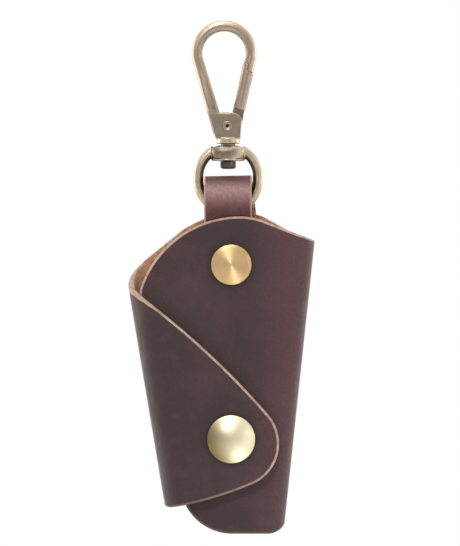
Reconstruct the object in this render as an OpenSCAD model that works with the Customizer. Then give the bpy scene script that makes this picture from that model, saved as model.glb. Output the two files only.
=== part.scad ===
// Leather key case that hangs from a swivel trigger clasp.
// The front faces -Y and +Z is up. The origin is the inside top of the hook, where it hangs,
// and X = 0 is the axis of the swivel, the ring and the upper tab. The case hangs a little right of it.

/* [Hook] */
// Diameter of the cast hook's round wire
hook_wire_d = 3.5; // [2.6:0.1:3.8]
// Inside width of the hook at its widest
hook_eye_d = 13.8; // [12:0.2:17]
// How far the hook's eye stands left of the swivel axis
hook_offset = 1.3; // [0:0.1:2]
// Height from the inside top of the hook to the top of its base
hook_drop = 26; // [24:0.5:32]
// Lean of the hook's fixed leg from upright, in degrees
leg_lean = 16.5; // [14:0.5:18]
// Diameter of the fixed leg where it meets the base
leg_foot_d = 4; // [3.5:0.1:4.4]
// Lean of the gate from upright, in degrees
gate_lean = 12.5; // [11:0.5:14]
// Height of the base
base_h = 8.25; // [7:0.25:9]
// Width of the base at its foot
base_w = 7.9; // [7.4:0.1:8.5]
// Thickness of the base, front to back
base_t = 5.8; // [5.2:0.1:7]
// Width of the slot that the gate's tongue turns in
slot_w = 2.3; // [2:0.1:2.8]
// Diameter of the gate
gate_d = 3.8; // [3.2:0.1:4]
// Diameter of the gate pin
pin_d = 2.2; // [1.8:0.1:2.4]

/* [Swivel] */
// Diameter of the collar under the base
collar_d = 7.4; // [7:0.1:8.5]
// Thickness of the collar
collar_h = 1.65; // [1.2:0.05:2.4]
// Diameter of the neck under the collar
neck_d = 4.5; // [4.4:0.1:5]
// Length of the neck
neck_h = 1.1; // [1:0.05:2]
// Diameter of the swivel post
post_d = 3.4; // [3:0.1:3.8]
// Diameter of the post's lower head
post_head_d = 5; // [4.6:0.1:6]
// Height of the post's lower head
post_head_h = 2.4; // [1.8:0.1:2.8]
// Inside diameter of the swivel ring
ring_hole_d = 15.8; // [15.4:0.1:19]
// Diameter of the ring's wire
ring_wire_d = 3.2; // [2.6:0.1:3.4]
// Height of the ring's straight sides, which make it a little taller than wide
ring_stretch = 1.2; // [0.6:0.1:2]
// Width of the ring's drilled pad
pad_w = 10.6; // [9.5:0.1:11.5]
// Height of the ring's pad
pad_h = 4.3; // [3.8:0.1:4.8]
// Depth of the ring's pad, front to back
pad_t = 7; // [6.4:0.1:8]

/* [Tabs] */
// Width of the upper tab, which fills the swivel ring
tab_w = 15.2; // [13:0.1:15.2]
// Thickness of the tab leather
tab_t = 1.8; // [1.6:0.05:2]
// Outside width of the upper tab's loop, seen from the side
loop_w = 12; // [11.4:0.1:14]
// Height of the loop above the middle of the ring's wire
loop_rise = 11; // [10.6:0.1:12.4]
// Width of the inner tab
key_tab_w = 10; // [8:0.1:11]
// How far the tabs' ends reach past the screw
tab_end = 9; // [7:0.5:12]
// Height from the screw to the key ring's wire
key_drop = 16.7; // [14:0.1:22]

/* [Key ring] */
// Outside diameter of the split ring
key_ring_d = 24; // [20:0.5:28]
// Width of the split ring's flat wire
key_wire_w = 1.8; // [1.4:0.1:1.9]
// Thickness of each turn of the split ring
key_wire_t = 1.15; // [0.9:0.05:1.2]

/* [Case] */
// How far the case's middle line stands right of the swivel axis
case_shift = 1.1; // [0.1:0.1:1.6]
// Thickness of the case leather
case_t = 2; // [1.6:0.1:2.4]
// Height from the ring's wire down to the screw
screw_drop = 17.5; // [15:0.5:20]
// Height from the screw down to the snap
snap_drop = 55.4; // [50:0.5:60]
// Reach of the left fold from the screw's axis, at the screw
left_reach = 34.2; // [32:0.2:38]
// Lean of the left fold from upright, in degrees
left_lean = 9.5; // [8:0.5:11]
// Reach of the right fold from the screw's axis, at the screw
right_reach = 25.8; // [24:0.2:29]
// Lean of the right fold from upright, in degrees
right_lean = 6.1; // [4.5:0.5:8]
// Height of the front panel's crown above the screw
crown_rise = 15.4; // [14:0.2:18]
// Radius of the front panel's rounded left shoulder
shoulder_r = 33.4; // [31:0.2:36]
// Radius where the crown turns into the right slope
crown_r = 21.2; // [18:0.2:25]
// Slope of the top edge down to the right fold, in degrees
slope = 21.2; // [18:0.2:24]
// Depth of the front panel's foot below the screw
foot_drop = 85.7; // [82:0.2:92]
// Radius of the front panel's lower left corner
foot_r = 16.6; // [14:0.2:18]
// Radius of the lower right corner
right_corner_r = 5; // [3:0.2:6]
// How far the back panel shows above the front panel
back_show = 1.4; // [0.6:0.1:1.8]

/* [Flap] */
// Height of the gap that the snap keeps between the flap and the front panel
flap_gap = 2; // [1.9:0.05:2.6]
// Drop of the flap's upper corner below the screw
flap_top_drop = 7; // [6:0.1:9]
// Radius of the flap's tip
tip_r = 14; // [12.6:0.2:14.6]
// How far the flap's foot corner lies below the screw
flap_foot_drop = 75.9; // [74:0.1:79]
// Bow of the flap's long diagonal edge
long_bow = 1.8; // [0.4:0.1:2.2]
// Bow of the flap's short lower edge
short_bow = 0.9; // [0.3:0.1:1.4]

/* [Fastenings] */
// Diameter of the screw's flat heads
screw_head_d = 12.9; // [11:0.1:14]
// Thickness of the screw's flat heads
screw_head_t = 1.3; // [1:0.1:1.8]
// Outside diameter of the screw's barrel
barrel_d = 5; // [4.6:0.1:6]
// Diameter of the screw's shank
shank_d = 3.4; // [3:0.1:3.8]
// Diameter of the snap's domed cap
cap_d = 15.3; // [14:0.1:16]
// Height of the snap's dome
cap_h = 3.1; // [2.4:0.1:3.6]
// Diameter of the socket's flange
socket_flange_d = 11; // [10:0.1:12]
// Diameter of the hollow in the socket
socket_bore_d = 6.6; // [6.5:0.1:7]
// Diameter of the stud's rounded head
stud_d = 5.5; // [5.3:0.1:5.6]
// Diameter of the stud's neck
stud_neck_d = 4.4; // [4:0.1:4.5]

/* [Hidden] */
$fn = 64;

// One overrun for every cut, and the gaps of the fits
overrun = 1;
run_gap = 0.05;
end_gap = 0.15;

// Steps of every arc that is drawn as points
arc_steps = 20;

// Hook: the eye's centre, the line of the gate and the pin
wire_r = hook_wire_d / 2;
eye_r = hook_eye_d / 2 + wire_r;
eye = [-hook_offset, -hook_eye_d / 2];
base_top = -hook_drop;
base_foot = base_top - base_h;
pin_rise_share = 0.475;
pin_at = [-pin_d / 10, base_foot + base_h * pin_rise_share];
gate_start = eye + eye_r * [cos(gate_lean), -sin(gate_lean)];
leg_start = eye + eye_r * [-cos(leg_lean), -sin(leg_lean)];
leg_len = (leg_start[1] - base_foot) / cos(leg_lean) - leg_foot_d / 2;
tongue_t = slot_w - 4 * run_gap;
tongue_r = pin_d;
// The lap between the nose and the gate's tip, as distances from the pin
lap_in = hook_drop * 0.804;
lap_out = hook_drop * 0.719;
// The split of the lap lies this far inside the gate's axis
lap_split = -gate_d * 0.06;
lap_gap = end_gap;
gate_foot_rise = gate_d * 1.35;
pin_head_d = pin_d * 1.45;
pin_head_t = pin_d * 0.14;
pin_hole_d = pin_d * 0.62;
spring_d = slot_w * 0.74;
spring_wire_d = slot_w * 0.13;

// Swivel: heights down the post
collar_foot = base_foot - collar_h;
neck_foot = collar_foot - neck_h;
pad_top = neck_foot - end_gap;
pad_foot = pad_top - pad_h;
post_head_top = pad_foot - end_gap;
slot_floor = base_foot + base_h * 0.15;
ring_r = (ring_hole_d + ring_wire_d) / 2;
ring_cz = pad_foot - pad_h * 0.95 - pad_h / 2;
wire_z = ring_cz - ring_r;

// Case: depths. The two tabs lie between the panels, four plies thick.
ply_gap = run_gap;
inner_y = 2 * tab_t + ply_gap;
panel_y = inner_y + case_t;
screw_z = wire_z - screw_drop;
snap_z = screw_z - snap_drop;
flap_in_y = panel_y + flap_gap;
flap_y = flap_in_y + case_t;
left_out_r = (flap_y + panel_y) / 2;
left_in_r = left_out_r - case_t;
left_cy = (panel_y - flap_y) / 2;
right_out_r = panel_y;
right_in_r = inner_y;
left_axis_x = -left_reach + left_out_r / cos(left_lean);
right_axis_x = right_reach - right_out_r / cos(right_lean);
fold_len = 3 * foot_drop;
// A fold laps into the flat leather by this much, and is this much thinner on each side
seam_lap = 6 * run_gap;
seam_skin = run_gap / 2;

// Outlines of the panels, seen from the front
front_edge_turn = 6.7;
front_edge_start = 202;
shoulder_in = 2.7;
shoulder_at = [shoulder_in, screw_z + crown_rise - shoulder_r];
crown_at = [shoulder_at[0], screw_z + crown_rise - crown_r];
foot_z = screw_z - foot_drop;
// Where the crown meets the slope down to the right fold
slope_top = crown_at + crown_r * [sin(slope), cos(slope)];
far_x = 2 * right_reach;
// An outline stops this far short of a cut that all the layers share, in degrees
short_turn = 3;
corner_r = 2.6;
corner_turn = 62;
left_corner = [fold_x(-1, screw_z - flap_foot_drop) + corner_r * 0.9,
               screw_z - flap_foot_drop + corner_r * 0.5];
right_corner = [fold_x(1, foot_z) - right_corner_r, foot_z + right_corner_r];
front_edge_lean = left_lean + front_edge_turn;
front_edge_top = shoulder_at + shoulder_r * [cos(front_edge_start), sin(front_edge_start)];
foot_at = [front_edge_top[0] + (front_edge_top[1] - foot_z - foot_r) * tan(front_edge_lean)
           + foot_r / cos(front_edge_lean), foot_z + foot_r];
// The flap's upper corner, and the back's round that runs into it
fold_top = [fold_x(-1, screw_z - flap_top_drop), screw_z - flap_top_drop];
round_end = 168;
round_r = shoulder_r * 0.452;
round_at = fold_top - round_r * [cos(round_end), sin(round_end)];
tip_at = [tip_r * 0.086, snap_z - tip_r * 0.1];
tip_start = 43;
tip_end = -62;

// Fastenings
snap_flange_t = 0.4;
snap_plate_t = 0.4;
stud_h = flap_gap + 3.3 * snap_flange_t;
socket_wall = 0.7;
tube_d = 3;
tube_roll_d = 4.2;
tube_roll_t = 0.2;
eyelet_d = 2.8;
snap_wire_d = 0.7;
key_loop_gap = 0.25;

// Inner tab and key ring. The ring's wire curves down inside the loop, so the loop is that much longer.
key_loop_r = norm([key_wire_t, key_wire_w / 2]) + key_loop_gap;
key_wire_z = screw_z - key_drop;
key_ring_r = (key_ring_d - key_wire_w) / 2;
key_loop_drop = key_ring_r - sqrt(key_ring_r * key_ring_r - key_tab_w * key_tab_w / 4);

// The X of a fold's outermost line at height z: side -1 is the left fold, 1 the right
function fold_x(side, z) = side < 0
    ? -left_reach + (screw_z - z) * tan(left_lean)
    : right_reach - (screw_z - z) * tan(right_lean);

// Points of an arc about a centre, from one angle to another
function arc(at, r, from, to, steps = arc_steps) =
    [for (i = [0:steps]) let (a = from + (to - from) * i / steps) at + r * [cos(a), sin(a)]];

// Points of a shallow bow between two points, bulging to the left of the way from p to q
function bow(p, q, rise, steps = arc_steps) =
    let (d = q - p, side = [-d[1], d[0]] / norm(d))
    [for (i = [0:steps]) let (s = i / steps) p + d * s + side * rise * 4 * s * (1 - s)];

// The outline of a strip of thickness t along a line of points
function turn_at(line, i) =
    let (a = line[max(i - 1, 0)], b = line[min(i + 1, len(line) - 1)], d = (b - a) / norm(b - a))
    [-d[1], d[0]];
function strip(line, t) = concat(
    [for (i = [0:len(line) - 1]) line[i] + turn_at(line, i) * t / 2],
    [for (i = [len(line) - 1:-1:0]) line[i] - turn_at(line, i) * t / 2]);

// Colours
antique = "#8f8070";
brass = "#c9a970";
pale_brass = "#d8c9a0";
leather = "#543f40";
tab_leather = "#6a4444";
steel = "#b8b8bc";

// Turns an outline drawn in X and Z into a plate between two depths
module plate(from_y, to_y) {
    translate([0, to_y, 0]) rotate([90, 0, 0]) linear_extrude(to_y - from_y) children();
}

// A round bar from a point in X and Z along a lean from upright
module bar(from, lean, length, d) {
    translate([from[0], 0, from[1]]) rotate([0, lean, 0]) cylinder(d = d, h = length);
}

// A cylinder across the clasp, along Y
module cross(at, d, from_y, to_y) {
    translate([at[0], to_y, at[1]]) rotate([90, 0, 0]) cylinder(d = d, h = to_y - from_y);
}

// Moves what is drawn about the case's middle line to its place
module on_case() {
    translate([case_shift, 0, 0]) children();
}

// A cylinder along Y on the case's middle line, from the front depth to the back depth
module stem(z, d, from_y, to_y) {
    cross([0, z], d, from_y, to_y);
}

// Everything on one side of a line beside the gate's axis: side 1 is outside it, -1 inside
module gate_side(side, split) {
    translate([gate_start[0], 0, gate_start[1]]) rotate([0, gate_lean, 0])
        translate([side > 0 ? split : -hook_drop + split, -hook_drop / 2, -hook_drop])
            cube([hook_drop, hook_drop, 2 * hook_drop]);
}

// Everything nearer the pin than a distance
module near_pin(r) {
    cross(pin_at, 2 * r, -base_t, base_t);
}

module base_outline() {
    foot_w = base_w / 2;
    corner = base_w * 0.36;
    slant = base_h * tan(leg_lean);
    polygon(concat(
        [[-foot_w, base_foot], [foot_w, base_foot]],
        arc([foot_w + wire_r * 0.2 - corner, base_top - corner], corner, 0, 90),
        [[-foot_w - slant + hook_wire_d, base_top], [-foot_w - slant, base_top + wire_r * 0.2]]));
}

module hook_body() {
    color(antique) difference() {
        union() {
            // The leg starts a little inside the eye, so the two are one casting
            translate([leg_start[0], 0, leg_start[1]]) rotate([0, 180 - leg_lean, 0])
                translate([0, 0, -wire_r * 0.3])
                    cylinder(d1 = hook_wire_d - run_gap, d2 = leg_foot_d, h = leg_len + wire_r * 0.3);
            // The eye and the nose, lapped to take the gate's tip
            difference() {
                union() {
                    translate([eye[0], 0, eye[1]]) rotate([90, 0, 0])
                        rotate_extrude(angle = 180 + gate_lean + leg_lean, start = -gate_lean)
                            translate([eye_r, 0]) circle(d = hook_wire_d, $fn = 32);
                    bar(gate_start - eye_r * [sin(gate_lean), cos(gate_lean)], gate_lean,
                        eye_r + wire_r * 0.3, hook_wire_d - run_gap);
                }
                near_pin(lap_out + lap_gap);
                difference() {
                    near_pin(lap_in + lap_gap);
                    gate_side(1, lap_split + lap_gap / 2);
                }
            }
            plate(-base_t / 2, base_t / 2) base_outline();
            translate([0, 0, collar_foot]) cylinder(d = collar_d, h = collar_h);
            translate([0, 0, neck_foot]) cylinder(d = neck_d, h = neck_h + overrun / 2);
        }
        slot();
        cross(pin_at, pin_d, -base_t, base_t);
        translate([0, 0, neck_foot - overrun]) cylinder(d = post_d, h = slot_floor - neck_foot + 2 * overrun);
    }
}

// The slot in the base, open at the top and to the right
module slot() {
    left = -base_w / 2 + base_w * 0.1;
    translate([left, -slot_w / 2, slot_floor])
        cube([base_w + overrun, slot_w, base_h + overrun]);
}

module hook_gate() {
    foot = gate_start - (gate_start[1] - base_top - gate_foot_rise * 0.2) / cos(gate_lean)
        * [sin(gate_lean), cos(gate_lean)];
    length = norm(gate_start - foot) + hook_wire_d;
    heel = foot - gate_d * 0.74 * [sin(gate_lean), cos(gate_lean)];
    color(antique) difference() {
        union() {
            difference() {
                intersection() {
                    bar(foot, gate_lean, length, gate_d);
                    near_pin(lap_in);
                }
                difference() {
                    gate_side(1, lap_split - lap_gap / 2);
                    near_pin(lap_out);
                }
            }
            // The tongue that turns in the slot
            plate(-tongue_t / 2, tongue_t / 2) hull() {
                translate(pin_at) circle(r = tongue_r, $fn = 32);
                translate(foot + [0, gate_d * 0.3]) circle(d = gate_d * 0.96, $fn = 32);
                translate(heel) circle(d = gate_d * 0.96, $fn = 32);
            }
        }
        cross(pin_at, pin_d + 2 * run_gap, -base_t, base_t);
    }
}

module gate_pin() {
    half = base_t / 2;
    color(brass) difference() {
        union() {
            cross(pin_at, pin_d, -half, half);
            cross(pin_at, pin_head_d, -half - pin_head_t, -half);
            cross(pin_at, pin_head_d, half, half + pin_head_t);
        }
        cross(pin_at, pin_hole_d, -base_t, base_t);
    }
}

// A small coil between the base's left wall and the tongue
module gate_spring() {
    wall = -base_w / 2 + base_w * 0.1;
    z = pin_at[1] + pin_d * 1.15;
    length = -wall - tongue_r * 0.82;
    pitch = spring_wire_d * 0.9;
    turns = floor((length - spring_wire_d) / pitch);
    color(steel) for (i = [0:turns])
        translate([wall + spring_wire_d / 2 + i * pitch, 0, z]) rotate([0, 90, 0])
            rotate_extrude() translate([(spring_d - spring_wire_d) / 2, 0])
                circle(d = spring_wire_d, $fn = 16);
}

module swivel_post() {
    color(antique) {
        translate([0, 0, post_head_top]) cylinder(d = post_d, h = slot_floor - post_head_top);
        translate([0, 0, post_head_top - post_head_h * 0.85])
            cylinder(d = post_head_d, h = post_head_h * 0.85);
        translate([0, 0, post_head_top - post_head_h])
            cylinder(d1 = post_head_d * 0.85, d2 = post_head_d, h = post_head_h * 0.15);
    }
}

module swivel_ring() {
    gap_turn = asin((pad_w / 2 - ring_wire_d / 3) / ring_r);
    color(antique) difference() {
        union() {
            translate([0, 0, ring_cz]) rotate([90, 0, 0]) rotate_extrude(angle = 180, start = 180)
                translate([ring_r, 0]) circle(d = ring_wire_d, $fn = 32);
            for (side = [-1, 1])
                translate([side * ring_r, 0, ring_cz]) cylinder(d = ring_wire_d, h = ring_stretch, $fn = 32);
            for (start = [0, 90 + gap_turn])
                translate([0, 0, ring_cz + ring_stretch]) rotate([90, 0, 0])
                    rotate_extrude(angle = 90 - gap_turn, start = start)
                        translate([ring_r, 0]) circle(d = ring_wire_d, $fn = 32);
            translate([0, 0, pad_foot]) linear_extrude(pad_h) hull() {
                circle(d = pad_t, $fn = 48);
                for (side = [-1, 1])
                    translate([side * (pad_w / 2 - ring_wire_d * 0.6), 0])
                        circle(r = ring_wire_d * 0.6, $fn = 32);
            }
        }
        translate([0, 0, pad_foot - overrun]) cylinder(d = post_d + 2 * run_gap, h = pad_h + 2 * overrun);
        // The post's head sits clear of the wire's ends
        translate([0, 0, pad_foot - post_head_h]) cylinder(d = post_head_d + overrun, h = post_head_h);
    }
}

// The upper tab: both ends below the screw, and a loop over the ring's wire
module ring_tab() {
    mid = inner_y - tab_t / 2;
    loop_r = (loop_w - tab_t) / 2;
    loop_cz = wire_z + loop_rise - loop_w / 2;
    flare = 25;
    side = concat([[-mid, screw_z - tab_end], [-mid, screw_z], [-mid, wire_z - tab_t / 2]],
                  arc([0, loop_cz], loop_r, 180 + flare, 90));
    back = [for (i = [len(side) - 2:-1:0]) [-side[i][0], side[i][1]]];
    color(tab_leather) difference() {
        translate([tab_w / 2, 0, 0]) rotate([90, 0, -90]) linear_extrude(tab_w)
            mirror([1, 0]) polygon(strip(concat(side, back), tab_t));
        on_case() stem(screw_z, barrel_d, -panel_y, panel_y);
    }
}

// The inner tab: both ends above the screw, and a small loop under it for the key ring
module key_tab() {
    mid = tab_t / 2 + ply_gap;
    loop_r = min(key_loop_r + tab_t / 2, inner_y - tab_t / 2);
    flare = 40;
    side = concat([[-mid, screw_z + tab_end], [-mid, screw_z], [-mid, key_wire_z + loop_r * 1.9]],
                  arc([0, key_wire_z], loop_r, 180 - flare, 180, 6),
                  arc([0, key_wire_z - key_loop_drop], loop_r, 180, 270));
    back = [for (i = [len(side) - 2:-1:0]) [-side[i][0], side[i][1]]];
    color(tab_leather) difference() {
        translate([key_tab_w / 2, 0, 0]) rotate([90, 0, -90]) linear_extrude(key_tab_w)
            mirror([1, 0]) polygon(strip(concat(side, back), tab_t));
        stem(screw_z, barrel_d, -panel_y, panel_y);
    }
}

// The split ring: two flat turns, with a jog from one to the other between the two ends
module key_ring() {
    jog = 20;
    steps = 90;
    r = key_ring_r;
    centre_z = key_wire_z - r;
    depth = key_wire_t / 2 + run_gap / 2;
    half = [key_wire_w / 2, key_wire_t / 2];
    turn = [for (i = [0:steps]) jog + (720 - 2 * jog) * i / steps];
    function side_at(a) = let (s = min(max((a - 360 + jog) / (2 * jog), 0), 1))
        depth * (2 * s * s * (3 - 2 * s) - 1);
    points = [for (a = turn) for (k = [[-1, -1], [1, -1], [1, 1], [-1, 1]])
        let (d = r + k[0] * half[0]) [d * sin(a), side_at(a) + k[1] * half[1], centre_z + d * cos(a)]];
    faces = concat(
        [[0, 1, 2, 3]], [[for (k = [3:-1:0]) 4 * steps + k]],
        [for (i = [0:steps - 1]) for (k = [0:3]) let (n = (k + 1) % 4)
            each [[4 * i + k, 4 * i + 4 + k, 4 * i + 4 + n], [4 * i + k, 4 * i + 4 + n, 4 * i + n]]]);
    color(steel) polyhedron(points, faces);
}

// What the slope takes off both panels and the right fold
module slope_cut() {
    top = slope_top[1] + fold_len;
    polygon([slope_top - [crown_r, -crown_r * tan(slope)], [slope_top[0] - crown_r, top],
             [far_x, top], [far_x, slope_top[1] - (far_x - slope_top[0]) * tan(slope)]]);
}

// What the foot and its round corner take off both panels and the right fold
module foot_cut() {
    corner = arc(right_corner, right_corner_r, 270, 270 + corner_turn, 10);
    last = corner[len(corner) - 1];
    floor = foot_z - fold_len;
    polygon(concat([[-far_x, foot_z]], corner,
                   [last + 3 * right_corner_r * [cos(corner_turn), sin(corner_turn)],
                    [far_x, foot_z + right_corner_r], [far_x, floor], [-far_x, floor]]));
}

// The outline of the front panel, from the crown over the shoulder and down to the foot
module front_outline() {
    corner = arc(foot_at, foot_r, 180 + front_edge_lean, 270 - short_turn);
    last = corner[len(corner) - 1];
    first = crown_at + crown_r * [sin(slope - short_turn), cos(slope - short_turn)];
    polygon(concat(
        [[far_x, first[1] + overrun], first + [0, overrun]],
        arc(crown_at, crown_r, 90 - slope + short_turn, 90, 8),
        arc(shoulder_at, shoulder_r, 93, front_edge_start),
        corner, [last - [0, overrun], [far_x, last[1] - overrun]]));
}

// The outline of the back panel, which shows a little above the front one
module back_outline() {
    rise = [0, back_show];
    // Past this point the back's edge lies on the slope, so both panels meet round the right fold
    join_x = right_axis_x - case_t;
    join_z = slope_top[1] - (join_x - slope_top[0]) * tan(slope);
    polygon(concat(
        [[far_x, join_z + overrun], [join_x, join_z + overrun / 10]],
        arc(crown_at + rise, crown_r, 90 - slope, 90, 8),
        arc(shoulder_at + rise, shoulder_r, 93, 124),
        arc(round_at, round_r, 129, round_end + 4),
        [left_corner - [corner_r * 3, -corner_r * 3]],
        arc(left_corner, corner_r, 270 - corner_turn, 270, 8),
        // Hidden behind the front panel's lower left corner
        arc(foot_at, foot_r - case_t / 2, 180 + corner_turn / 2, 235, 8),
        [[right_axis_x - foot_r, foot_z - overrun], [far_x, foot_z - overrun]]));
}

// The outline of the flap: a long diagonal, a round tip and a short lower edge
module flap_outline() {
    out = [-case_t * 2, case_t * 1.4];
    p = tip_at + tip_r * [cos(tip_start), sin(tip_start)];
    q = tip_at + tip_r * [cos(tip_end), sin(tip_end)];
    foot = left_corner + [0, -corner_r];
    polygon(concat(
        [fold_top + out], bow(fold_top, p, long_bow), arc(tip_at, tip_r, tip_start, tip_end),
        bow(q, foot, short_bow), arc(left_corner, corner_r, 270, 270 - corner_turn, 8),
        [left_corner - [corner_r * 3, -corner_r * 3]]));
}

// The flat part between the two folds' axes, lapped a little into each fold
module between_folds() {
    top = screw_z + fold_len / 3;
    foot = screw_z - fold_len / 2;
    function left_x(z) = left_axis_x + (screw_z - z) * tan(left_lean) - seam_lap;
    function right_x(z) = right_axis_x - (screw_z - z) * tan(right_lean) + seam_lap;
    polygon([[left_x(foot), foot], [right_x(foot), foot], [right_x(top), top], [left_x(top), top]]);
}

// Part of a tube of leather along a fold: from and to are angles about its axis, 90 at the back
module fold(side, from, to) {
    x = side < 0 ? left_axis_x : right_axis_x;
    y = side < 0 ? left_cy : 0;
    lean = side < 0 ? -left_lean : right_lean;
    in_r = side < 0 ? left_in_r : right_in_r;
    translate([x, y, screw_z]) rotate([0, lean, 0]) translate([0, 0, -fold_len / 2])
        rotate_extrude(angle = to - from, start = from)
            translate([in_r + seam_skin, 0]) square([case_t - 2 * seam_skin, fold_len]);
}

module case_wrap() {
    color(leather) difference() {
        union() {
            intersection() {
                plate(inner_y, panel_y) between_folds();
                plate(inner_y - overrun, panel_y + overrun) back_outline();
            }
            intersection() {
                plate(-panel_y, -inner_y) between_folds();
                plate(-panel_y - overrun, -inner_y + overrun) front_outline();
            }
            intersection() {
                fold(-1, 90, 180);
                plate(-2 * panel_y, 2 * panel_y) back_outline();
            }
            fold(1, -90, 90);
        }
        plate(-2 * panel_y, 2 * panel_y) slope_cut();
        plate(-2 * panel_y, 2 * panel_y) foot_cut();
        stem(screw_z, barrel_d, -2 * panel_y, 2 * panel_y);
        stem(snap_z, eyelet_d, -2 * panel_y, 0);
    }
}

module case_flap() {
    color(leather) difference() {
        union() {
            intersection() {
                plate(-flap_y, -flap_in_y) between_folds();
                plate(-flap_y - overrun, -flap_in_y + overrun) flap_outline();
            }
            intersection() {
                fold(-1, 180, 270);
                plate(-2 * flap_y, flap_y) flap_outline();
            }
        }
        stem(snap_z, socket_bore_d + 2 * socket_wall, -2 * flap_y, 0);
    }
}

// A disc with a rounded rim, its flat side at y = 0 and its face towards -Y
module button(d, t, rim) {
    rotate([90, 0, 0]) rotate_extrude()
        polygon(concat([[0, 0], [d / 2, 0]], arc([d / 2 - rim, t - rim], rim, 0, 90, 6), [[0, t]]));
}

module screw_head() {
    length = 2 * panel_y * 0.75;
    color(brass) {
        translate([0, -panel_y, screw_z]) button(screw_head_d, screw_head_t, screw_head_t * 0.45);
        stem(screw_z, shank_d, -panel_y, -panel_y + length);
    }
}

module screw_post() {
    color(brass) difference() {
        union() {
            translate([0, panel_y, screw_z]) rotate([0, 0, 180])
                button(screw_head_d, screw_head_t, screw_head_t * 0.45);
            stem(screw_z, barrel_d, -panel_y, panel_y);
        }
        stem(screw_z, shank_d, -2 * panel_y, -panel_y + 2 * panel_y * 0.8);
    }
}

// The cap: a dome on a low rim, with the tube that is rolled over inside the socket
module snap_cap() {
    rim = cap_h * 0.17;
    dome_h = cap_h - rim;
    dome_r = (cap_d * cap_d / 4 + dome_h * dome_h) / (2 * dome_h);
    dome_turn = asin(cap_d / 2 / dome_r);
    color(pale_brass) {
        translate([0, -flap_y, snap_z]) rotate([90, 0, 0]) rotate_extrude($fn = 96) polygon(concat(
            [[0, 0], [cap_d / 2, 0]],
            arc([0, cap_h - dome_r], dome_r, 90 - dome_turn, 89, 14), [[0, cap_h]]));
        stem(snap_z, tube_d, -flap_y, -flap_y + snap_plate_t);
        stem(snap_z, tube_roll_d, -flap_y + snap_plate_t, -flap_y + snap_plate_t + tube_roll_t);
    }
}

module snap_socket() {
    body_d = socket_bore_d + 2 * socket_wall;
    color(pale_brass) difference() {
        union() {
            stem(snap_z, body_d, -flap_y, -flap_in_y);
            stem(snap_z, socket_flange_d, -flap_in_y, -flap_in_y + snap_flange_t);
        }
        stem(snap_z, socket_bore_d, -flap_y + snap_plate_t, 0);
        stem(snap_z, tube_d, -2 * flap_y, 0);
    }
}

module snap_wire() {
    r = (stud_neck_d / 2 + run_gap * 2) + snap_wire_d / 2;
    open = 35;
    color(steel) translate([0, -flap_in_y + snap_flange_t / 8, snap_z]) rotate([90, 0, 0])
        rotate_extrude(angle = 360 - 2 * open, start = open) translate([r, 0])
            circle(d = snap_wire_d, $fn = 24);
}

module snap_stud() {
    bulb = stud_h * 0.15;
    color(pale_brass) difference() {
        translate([0, -panel_y, snap_z]) rotate([90, 0, 0]) rotate_extrude()
            polygon(concat(
                [[0, 0], [socket_flange_d * 0.42, 0], [socket_flange_d * 0.42, snap_flange_t],
                 [stud_neck_d / 2, snap_flange_t], [stud_neck_d / 2, stud_h - 2 * bulb]],
                arc([stud_d / 2 - bulb, stud_h - bulb], bulb, -60, 90, 8), [[0, stud_h]]));
        stem(snap_z, eyelet_d, -panel_y - stud_h * 0.5, 0);
    }
}

module snap_eyelet() {
    color(pale_brass) difference() {
        union() {
            stem(snap_z, eyelet_d, -panel_y - stud_h * 0.5, -inner_y);
            stem(snap_z, socket_flange_d * 0.9, -inner_y, -inner_y + snap_flange_t);
        }
        stem(snap_z, eyelet_d * 0.6, -panel_y - stud_h * 0.4, 0);
    }
}

hook_body();
hook_gate();
gate_pin();
gate_spring();
swivel_post();
swivel_ring();
ring_tab();
on_case() key_tab();
on_case() key_ring();
on_case() case_wrap();
on_case() case_flap();
on_case() screw_head();
on_case() screw_post();
on_case() snap_cap();
on_case() snap_socket();
on_case() snap_wire();
on_case() snap_stud();
on_case() snap_eyelet();
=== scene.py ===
# %% [markdown]
# # A leather key case on a swivel trigger clasp
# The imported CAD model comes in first, as a fixed frame in metres. Each piece made here takes its place
# from that frame, and rides on the CAD body that moves it. The leather is cut flat and folded, as a
# maker does it, and the metal is cast, turned or pressed, so each gets its own way of modelling.

# %% Load the frame
import math

import bmesh
import bpy
from mathutils import Matrix, Vector
from mathutils.bvhtree import BVHTree
from mathutils.geometry import delaunay_2d_cdt
from mathutils.noise import noise as noise_at


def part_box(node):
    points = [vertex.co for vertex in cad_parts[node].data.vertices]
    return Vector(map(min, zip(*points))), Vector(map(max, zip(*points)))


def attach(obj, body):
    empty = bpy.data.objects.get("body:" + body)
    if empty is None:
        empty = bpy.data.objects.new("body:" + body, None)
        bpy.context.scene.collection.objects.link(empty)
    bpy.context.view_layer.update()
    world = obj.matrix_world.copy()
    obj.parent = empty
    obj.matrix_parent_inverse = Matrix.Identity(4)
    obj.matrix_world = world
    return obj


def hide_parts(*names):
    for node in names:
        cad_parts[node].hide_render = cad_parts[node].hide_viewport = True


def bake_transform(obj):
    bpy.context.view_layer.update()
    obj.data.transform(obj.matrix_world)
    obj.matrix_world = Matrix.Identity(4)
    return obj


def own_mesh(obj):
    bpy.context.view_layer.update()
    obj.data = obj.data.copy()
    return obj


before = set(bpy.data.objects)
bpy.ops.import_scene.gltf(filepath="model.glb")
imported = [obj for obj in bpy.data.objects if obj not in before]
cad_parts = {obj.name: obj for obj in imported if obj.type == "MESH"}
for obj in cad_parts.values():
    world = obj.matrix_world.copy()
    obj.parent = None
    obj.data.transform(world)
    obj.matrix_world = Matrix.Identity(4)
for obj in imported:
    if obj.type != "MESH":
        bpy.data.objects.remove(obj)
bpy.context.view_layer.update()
MM = 0.001

# %% [markdown]
# ## Camera
# The photograph is taken straight from the front with a long lens, so nothing widens towards the edges.
# 1.2 m away, a lens of 247 mm on a 36 mm sensor spans the 175 mm that the picture shows from top to foot.

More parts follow.
